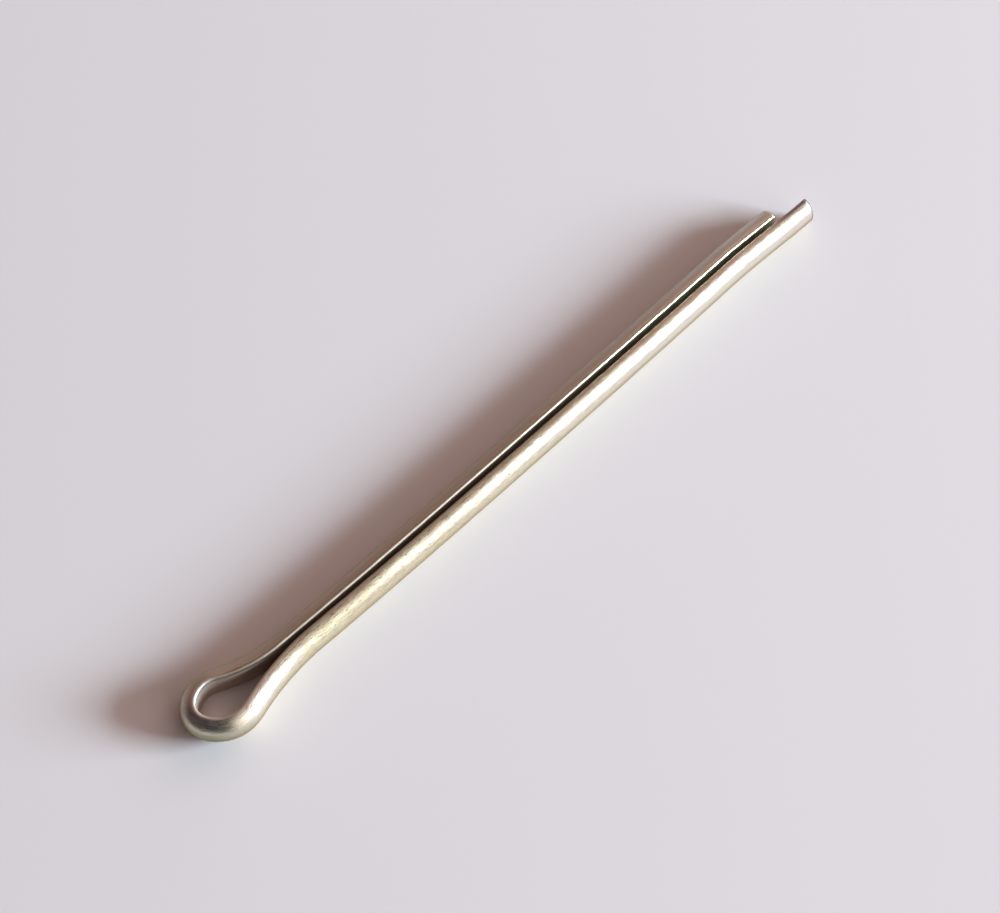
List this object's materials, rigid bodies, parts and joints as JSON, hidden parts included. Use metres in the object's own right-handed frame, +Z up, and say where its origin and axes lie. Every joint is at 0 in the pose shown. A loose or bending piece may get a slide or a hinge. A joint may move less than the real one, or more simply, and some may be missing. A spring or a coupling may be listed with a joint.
{
  "type": "cotter pin",
  "caption": "Split pin folded from half-round wire: a rounded eye, two straight legs flat to flat, one leg longer than the other.",
  "frame": {"origin": "on the shank's axis, where the long leg's easy bend ends and its straight run begins", "axes": "+X along the shank towards the tips, +Y across the flats towards the short leg, +Z up from the surface that the pin lies on"},
  "size_m": [0.0942, 0.0084, 0.0044],
  "materials": {
    "plated_wire": "drawn mild steel, zinc plated with a pale yellow passivate, satin with fine drawing lines"
  },
  "bodies": {
    "root": {"cotter_pin": "plated_wire"}
  },
  "joints": []
}
